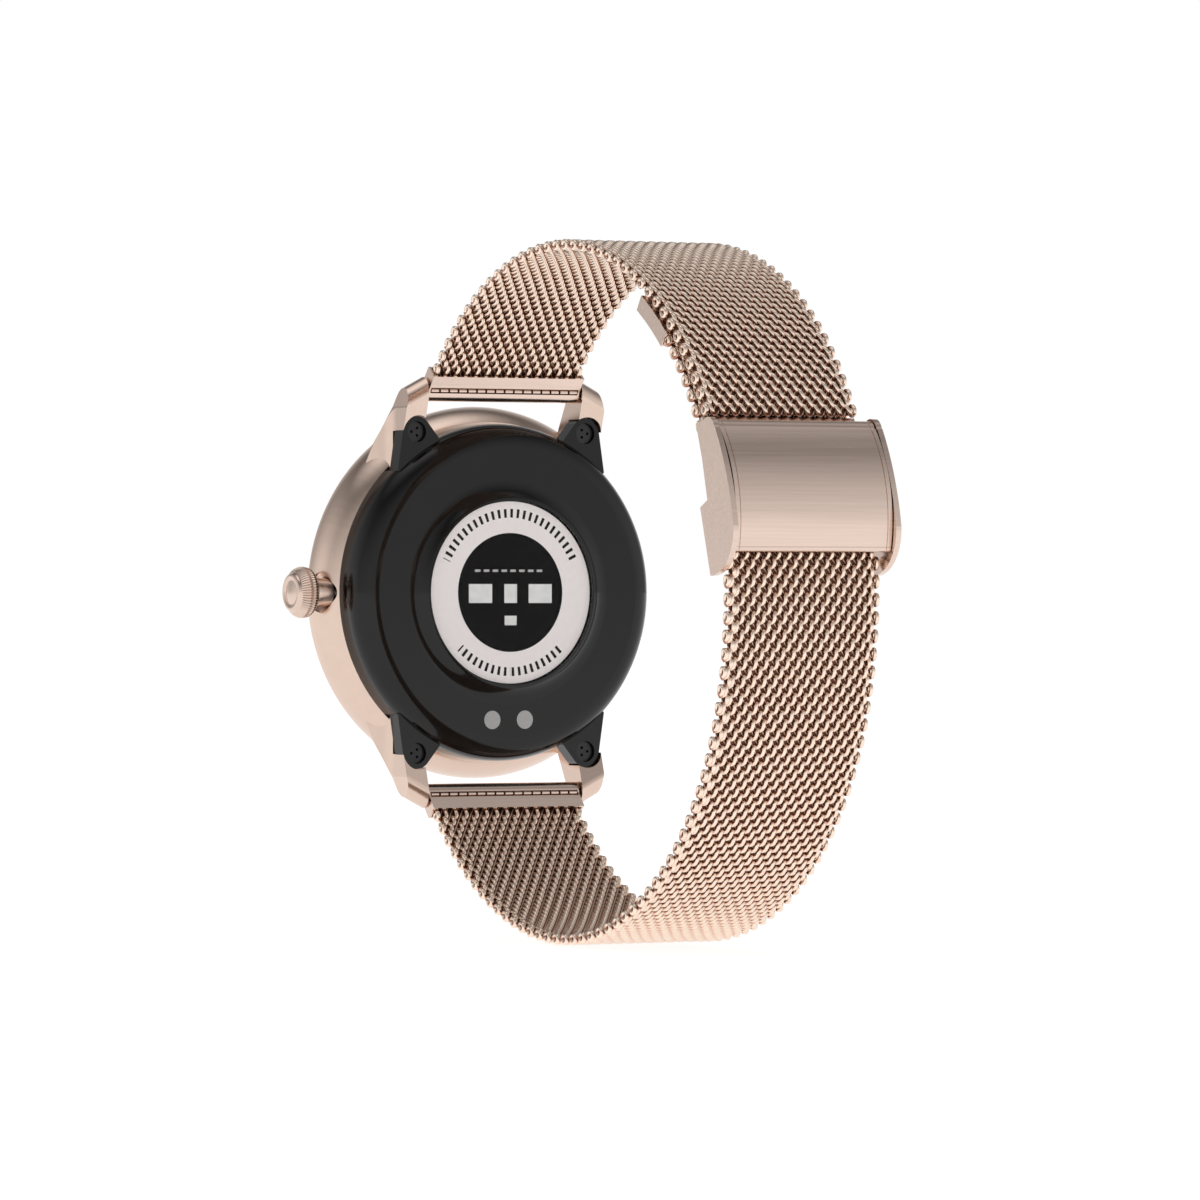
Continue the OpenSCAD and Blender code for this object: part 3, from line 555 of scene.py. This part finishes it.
barArm = loopSettings["barY"] + loopSettings["depth"]
barAngle = math.degrees(math.atan2(loopSettings["barZ"], barArm))
startAngle = barAngle + math.degrees(loopSettings["plateReach"] / math.hypot(barArm, loopSettings["barZ"]))
upperRail = strapRail(startAngle, loopSettings["upperEnd"], False, loopSettings)
lowerRail = strapRail(loopSettings["tailEnd"], 360 - startAngle, True, loopSettings)
upperLength, lowerLength = upperRail[0][-1], lowerRail[0][-1]
ends = {"plate": 0.9, "clasp": 0.1, "tail": 0.3, "shadeSheet": 0.2}
middle = lowerLength / 2
upperStop = upperLength - ends["clasp"]
upperWeave = weave("upperWeave", upperRail, ends["plate"], upperStop, 1, weaveSettings, "upper_strap")
# a dark sheet of painted shade fills each strap between its two wire layers
shadeSheetBand("upperShadeSheet", upperRail, ends["shadeSheet"], upperStop, 1, weaveSettings, "upper_strap")
lowerWeave = weave("lowerWeaveA", lowerRail, ends["tail"], middle, -1, lowerSettings, "lower_strap")
weave("lowerWeaveB", lowerRail, middle, lowerLength - ends["plate"], -1, lowerSettings, "lower_strap")
shadeSheetBand("lowerShadeSheet", lowerRail, ends["shadeSheet"], lowerLength - ends["shadeSheet"], -1, weaveSettings, "lower_strap")

knobSettings = {"flutes": 56, "depth": 0.13, "around": 8, "rings": 120, "length": 2.65, "y": 7.1, "neck": 2.2,
                "neckPoints": 3, "belt": (0.05, 2.25), "fade": (0.2, 0.12), "beltRadius": 1.7,
                "profile": [(-2.2, 1.52), (-2.1, 1.6), (-0.9, 1.6), (-0.1, 1.64), (0.0, 1.72), (0.04, 2.1),
                            (0.14, 2.42), (0.36, 2.68), (0.66, 2.85), (1.05, 2.92), (1.4, 2.9), (1.75, 2.78),
                            (2.02, 2.58), (2.2, 2.36), (2.3, 2.22), (2.42, 2.18), (2.56, 2.08), (2.64, 1.9),
                            (2.63, 1.7), (2.52, 1.55), (2.47, 1.4), (2.5, 1.2), (2.58, 0.6)]}


def turnedFaces(rings, around):
    # faces between rings of points, with a fan of four-sided faces to a pole at each end
    i, j = np.arange(rings - 1)[:, None], np.arange(around)[None, :]
    k = (j + 1) % around
    quads = np.stack([i * around + j, i * around + k, (i + 1) * around + k, (i + 1) * around + j], axis=-1)
    e = np.arange(0, around, 2)
    top, pole = (rings - 1) * around, rings * around
    capA = np.stack([np.full_like(e, pole), (e + 2) % around, e + 1, e], axis=-1)
    capB = np.stack([np.full_like(e, pole + 1), top + e, top + e + 1, top + (e + 2) % around], axis=-1)
    return np.concatenate([quads.reshape(-1, 4), capA, capB])[:, ::-1]


def crownKnob(s):
    # a turned profile, its belt fluted by r - depth * |cos(n v / 2)| ^ 3 between the two shoulders
    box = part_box("crown_knob")
    inner, outer = max(box[0][0], box[1][0]) / mm, min(box[0][0], box[1][0]) / mm
    prof = np.array(s["profile"])
    prof[:s["neckPoints"], 0] += s["neck"] - (inner - outer - s["length"])
    t = np.concatenate([[0], np.cumsum(np.hypot(*np.diff(prof, axis=0).T))])
    u = np.linspace(0, t[-1], s["rings"])
    h, r = np.interp(u, t, prof[:, 0]), np.interp(u, t, prof[:, 1])
    v = np.linspace(0, 2 * np.pi, s["flutes"] * s["around"], endpoint=False)
    rise = np.clip((h - s["belt"][0]) / s["fade"][0], 0, 1)
    fall = np.clip((s["belt"][1] - h) / s["fade"][1], 0, 1)
    shoulder = rise * fall * (r > s["beltRadius"])
    groove = np.abs(np.cos(s["flutes"] * v / 2)) ** 3
    rr = r[:, None] - s["depth"] * shoulder[:, None] * groove[None, :]
    x = outer + s["length"] - h
    pts = np.stack([np.broadcast_to(x[:, None], rr.shape), s["y"] + rr * np.cos(v), rr * np.sin(v)], axis=-1)
    verts = np.concatenate([pts.reshape(-1, 3), [[x[0], s["y"], 0], [x[-1], s["y"], 0]]]) * mm
    faces = turnedFaces(len(h), len(v))
    return meshPiece("fluted_knob", verts, faces, materials["roseCase"], "crown")


lensSettings = {"radius": 10.48, "inner": 0.6, "edge": 0.12, "bevel": 0.3, "depth": 0.5, "around": 256}


def lensShell(s):
    # a turned lens with bevelled edges: rings at radius r and height y, closed by poles
    radius, edge = s["radius"], s["edge"]
    r = np.array([radius * s["inner"], radius - edge, radius - edge * s["bevel"], radius, radius,
                  radius * s["inner"]])
    y = np.array([0.0, 0.0, edge * s["bevel"], edge, s["depth"], s["depth"]])
    v = np.linspace(0, 2 * np.pi, s["around"], endpoint=False)
    rr = r[:, None] * np.ones_like(v)
    pts = np.stack([rr * np.cos(v), np.broadcast_to(y[:, None], rr.shape), rr * np.sin(v)], axis=-1)
    verts = np.concatenate([pts.reshape(-1, 3), [[0, 0, 0], [0, s["depth"], 0]]]) * mm
    faces = turnedFaces(len(r), len(v))
    return meshPiece("lens_shell", verts, faces, materials["lensClear"], "case")


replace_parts(lensShell(lensSettings), "sensor_lens")
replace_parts(crownKnob(knobSettings), "crown_knob")
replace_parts(upperWeave, "upper_mesh")
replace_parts(lowerWeave, "lower_mesh")
print("strap, lens and knob made")

studioSettings = {"facing": (-0.492, -0.87, 0.0), "floorZ": -39.3, "floorHalf": 6.0, "floorGlow": 0.8,
                  "level": [(0.0, 0.75), (0.31, 0.9), (0.40, 0.6), (0.46, 0.85), (0.50, 1.0), (0.55, 1.0),
                            (0.63, 0.85), (0.742, 0.6), (0.877, 0.22), (0.94, 0.6), (0.98, 1.1), (1.0, 1.2)],
                  "around": [(0.0, 1.0), (0.1, 0.8), (0.2, 0.5), (0.32, 0.72), (0.5, 1.0), (0.65, 1.0),
                             (0.8, 0.75), (0.9, 0.8), (1.0, 0.85)]}


def greyRamp(tree, value, stops):
    # a grey that runs straight from one (place, brightness) stop to the next, over value / 2 + 1 / 2
    return ramp(tree, maths(tree, "MULTIPLY_ADD", value, 0.5, 0.5), [(at, (v, v, v)) for at, v in stops])


def makeStudio(s):
    # light = ramp(height of the direction) * ramp(direction . facing), and plain white behind the watch
    world = bpy.data.worlds.new("studio")
    bpy.context.scene.world = world
    world.use_nodes = True
    tree = world.node_tree
    tree.nodes.clear()
    coord = node(tree, "ShaderNodeTexCoord").outputs["Generated"]
    height = node(tree, "ShaderNodeSeparateXYZ", {"Vector": coord}).outputs["Z"]
    turned = node(tree, "ShaderNodeVectorMath", {0: coord, 1: s["facing"]},
                  operation="DOT_PRODUCT").outputs["Value"]
    light = node(tree, "ShaderNodeMix", {"Factor": 1.0, "A": greyRamp(tree, height, s["level"]),
                                         "B": greyRamp(tree, turned, s["around"])},
                 data_type="RGBA", blend_type="MULTIPLY").outputs["Result"]
    seen = node(tree, "ShaderNodeLightPath").outputs["Is Camera Ray"]
    colour = blend(tree, seen, light, rgb(1, 1, 1))
    surround = node(tree, "ShaderNodeBackground", {"Color": colour, "Strength": 1.0})
    node(tree, "ShaderNodeOutputWorld", {"Surface": surround.outputs[0]})
    floorMat, _, shader = newMaterial("paleFloor")
    tune(shader, Base_Color=rgb(0.5, 0.5, 0.5), Roughness=0.9, Emission_Color=rgb(1, 1, 1),
         Emission_Strength=s["floorGlow"])
    data = bpy.data.meshes.new("floor")
    w, z = s["floorHalf"], s["floorZ"] * mm
    data.from_pydata([(-w, -w, z), (w, -w, z), (w, w, z), (-w, w, z)], [], [(0, 1, 2, 3)])
    data.materials.append(floorMat)
    floor = bpy.data.objects.new("floor", data)
    bpy.context.scene.collection.objects.link(floor)


makeStudio(studioSettings)
bpy.context.scene.view_settings.view_transform = "Standard"
print("studio ready")
